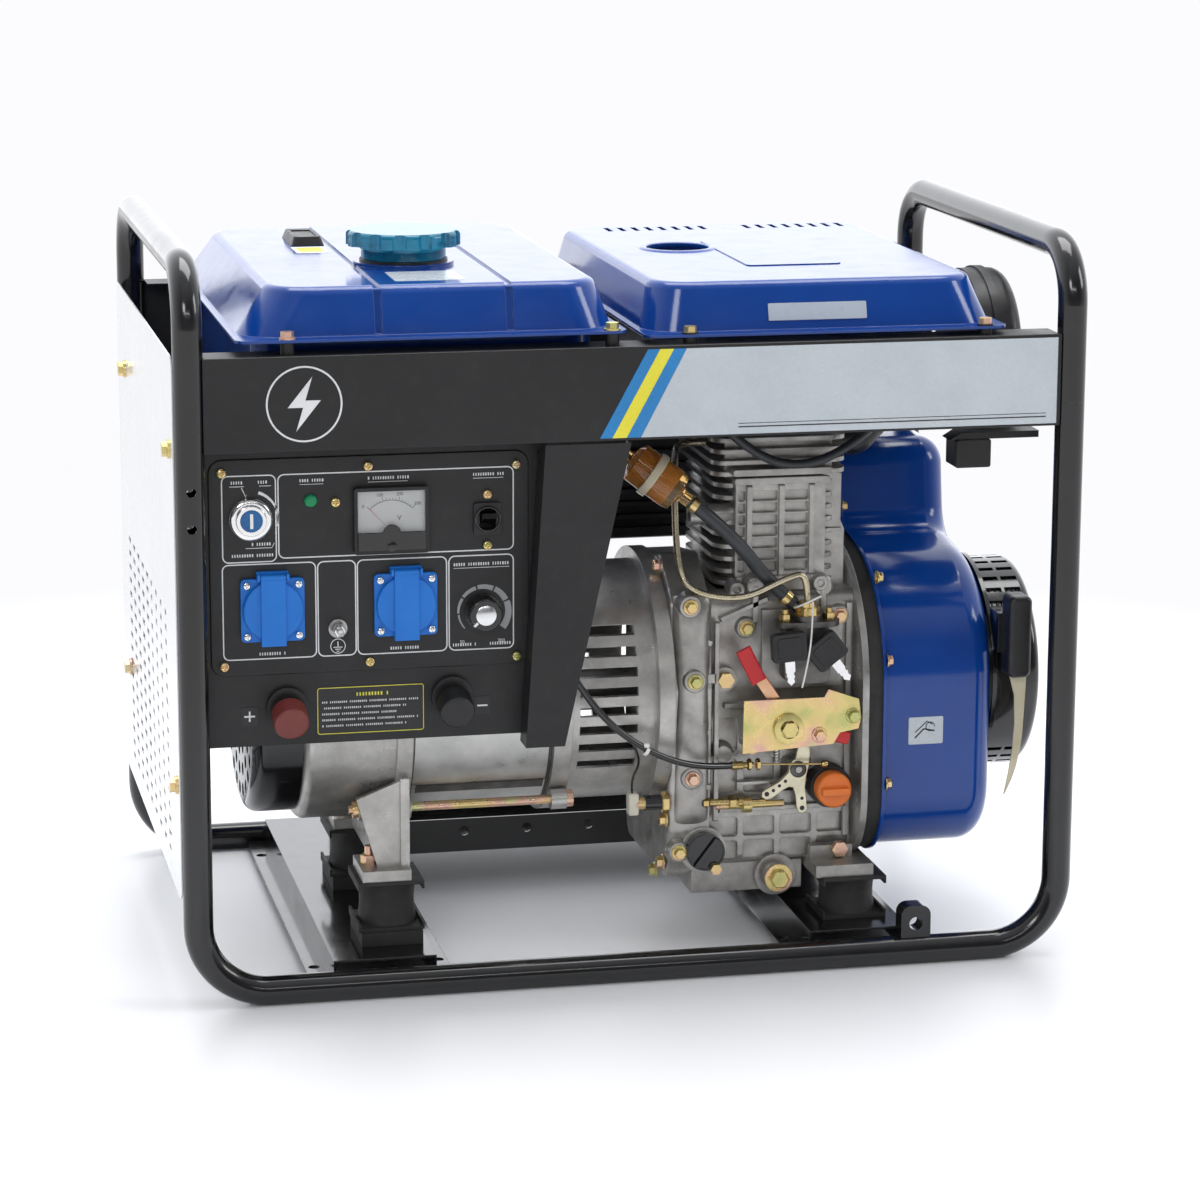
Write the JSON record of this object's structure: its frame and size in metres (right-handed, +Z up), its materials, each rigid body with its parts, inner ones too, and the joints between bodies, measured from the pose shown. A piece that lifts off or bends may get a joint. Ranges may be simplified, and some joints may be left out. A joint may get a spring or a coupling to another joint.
{
  "type": "engine driven welder",
  "caption": "Open-frame diesel welder and generator: tubular carrying frame, side-mounted tank and control panel, air-cooled engine with recoil starter and alternator.",
  "frame": {"origin": "centre of the footprint, on the floor plane", "axes": "+X along the length towards the recoil starter, -Y to the control panel, +Z up"},
  "size_m": [0.798, 0.51, 0.645],
  "materials": {
    "black_paint": "gloss black powder coat",
    "panel_paint": "satin black",
    "white_paint": "gloss white powder coat",
    "blue_paint": "deep gloss blue",
    "cast_aluminium": "raw casting",
    "galvanised": "galvanised sheet",
    "steel": "machined",
    "zinc": "yellow zinc plate",
    "chrome": "polished",
    "black_plastic": "moulded",
    "blue_plastic": "moulded",
    "red_plastic": "moulded",
    "green_lens": "lens",
    "clear": "clear",
    "teal_plastic": "translucent",
    "amber_plastic": "translucent",
    "orange_plastic": "moulded",
    "hose_rubber": "matte"
  },
  "bodies": {
    "frame": {"air_cleaner": "black_plastic", "alternator_end_bracket": "cast_aluminium", "alternator_end_cover": "black_plastic", "alternator_front_bracket": "cast_aluminium", "base_members": "black_paint", "blower_housing": "blue_paint", "breaker": "panel_paint", "control_box": "panel_paint", "control_panel": "panel_paint", "control_plate": "zinc", "crankcase": "cast_aluminium", "cylinder_block": "cast_aluminium", "cylinder_head": "cast_aluminium", "earth_stud": "steel", "engine_fittings": "zinc", "fascia_beams": "panel_paint", "fasteners": "zinc", "front_hoop": "black_paint", "fuel_filter": "amber_plastic", "fuel_gauge": "black_plastic", "fuel_hoses": "hose_rubber", "fuel_tank": "blue_paint", "high_pressure_pipe": "steel", "injection_pump": "cast_aluminium", "key_ring": "chrome", "left_handle": "black_paint", "left_side_panel": "white_paint", "muffler": "black_paint", "muffler_cover": "blue_paint", "panel_gusset": "panel_paint", "pilot_lamp": "green_lens", "rear_hoop": "black_paint", "recoil_housing": "black_plastic", "right_handle": "black_paint", "rubber_mounts": "black_paint", "sockets": "blue_plastic", "starter_motor": "black_paint", "stator": "galvanised", "terminal_bases": "black_plastic", "throttle_cable": "hose_rubber", "tie_down_lug": "black_paint", "voltmeter": "black_plastic", "voltmeter_window": "clear"},
    "crank": {"crankshaft": "steel", "flywheel_fan": "steel"},
    "breaker_toggle": {"breaker_toggle": "black_plastic"},
    "current_knob": {"current_knob": "black_plastic"},
    "earth_nut": {"earth_nut": "steel"},
    "fuel_cap": {"fuel_cap": "teal_plastic"},
    "governor_lever": {"governor_lever": "zinc"},
    "key_barrel": {"key_barrel": "blue_plastic"},
    "left_socket_flap": {"left_socket_flap": "blue_plastic"},
    "negative_terminal_knob": {"negative_terminal_knob": "black_plastic"},
    "oil_cap": {"oil_cap": "orange_plastic"},
    "positive_terminal_knob": {"positive_terminal_knob": "red_plastic"},
    "recoil_handle": {"recoil_handle": "black_plastic"},
    "recoil_pulley": {"recoil_pulley": "black_plastic"},
    "right_socket_flap": {"right_socket_flap": "blue_plastic"},
    "speed_lever": {"speed_lever": "zinc"},
    "voltmeter_needle": {"voltmeter_needle": "steel"}
  },
  "joints": [
    {"name": "crank_spin", "type": "hinge", "parent": "frame", "child": "crank", "pos_m": [0.1, -0.075, 0.232], "axis": [1, 0, 0], "continuous": true},
    {"name": "key_turn", "type": "hinge", "parent": "frame", "child": "key_barrel", "pos_m": [-0.326, -0.215, 0.419], "axis": [0, 1, 0], "range_deg": [0, 90]},
    {"name": "needle_swing", "type": "hinge", "parent": "frame", "child": "voltmeter_needle", "pos_m": [-0.207, -0.2258, 0.406], "axis": [0, 1, 0], "range_deg": [0, 90]},
    {"name": "breaker_flip", "type": "hinge", "parent": "frame", "child": "breaker_toggle", "pos_m": [-0.124, -0.219, 0.412], "axis": [1, 0, 0], "range_deg": [0, 32]},
    {"name": "left_flap_open", "type": "hinge", "parent": "frame", "child": "left_socket_flap", "pos_m": [-0.3086, -0.2312, 0.37], "axis": [-1, 0, 0], "range_deg": [0, 100], "stiffness_Nm_per_rad": 0.01, "springref_deg": -28.65},
    {"name": "right_flap_open", "type": "hinge", "parent": "frame", "child": "right_socket_flap", "pos_m": [-0.195, -0.2312, 0.37], "axis": [-1, 0, 0], "range_deg": [0, 100], "stiffness_Nm_per_rad": 0.01, "springref_deg": -28.65},
    {"name": "earth_nut_turn", "type": "hinge", "parent": "frame", "child": "earth_nut", "pos_m": [-0.253, -0.228, 0.322], "axis": [0, -1, 0], "range_deg": [0, 720]},
    {"name": "current_knob_turn", "type": "hinge", "parent": "frame", "child": "current_knob", "pos_m": [-0.128, -0.23, 0.331], "axis": [0, 1, 0], "range_deg": [0, 270]},
    {"name": "positive_knob_turn", "type": "hinge", "parent": "frame", "child": "positive_terminal_knob", "pos_m": [-0.297, -0.226, 0.255], "axis": [0, -0.9397, -0.342], "range_deg": [0, 720]},
    {"name": "negative_knob_turn", "type": "hinge", "parent": "frame", "child": "negative_terminal_knob", "pos_m": [-0.155, -0.226, 0.258], "axis": [0, -0.9397, -0.342], "range_deg": [0, 720]},
    {"name": "fuel_cap_turn", "type": "hinge", "parent": "frame", "child": "fuel_cap", "pos_m": [-0.17, -0.074, 0.63], "axis": [0, 0, 1], "range_deg": [0, 90]},
    {"name": "speed_lever_swing", "type": "hinge", "parent": "frame", "child": "speed_lever", "pos_m": [0.1516, -0.1865, 0.2063], "axis": [0, 1, 0], "range_deg": [0, 15]},
    {"name": "governor_swing", "type": "hinge", "parent": "frame", "child": "governor_lever", "pos_m": [0.1665, -0.168, 0.163], "axis": [0, 1, 0], "range_deg": [0, 12]},
    {"name": "oil_cap_turn", "type": "hinge", "parent": "frame", "child": "oil_cap", "pos_m": [0.196, -0.18, 0.146], "axis": [0, -1, 0], "range_deg": [0, 720]},
    {"name": "recoil_pull", "type": "slide", "parent": "frame", "child": "recoil_handle", "axis": [0, -1, 0], "range_m": [0, 0.6]},
    {"name": "recoil_pulley_turn", "type": "hinge", "parent": "frame", "child": "recoil_pulley", "pos_m": [0.352, -0.075, 0.232], "axis": [1, 0, 0], "range_deg": [-5, 534]}
  ],
  "couplings": [
    {"joint": "recoil_pulley_turn", "follows": "recoil_pull", "rad_per_m": 15.385}
  ]
}
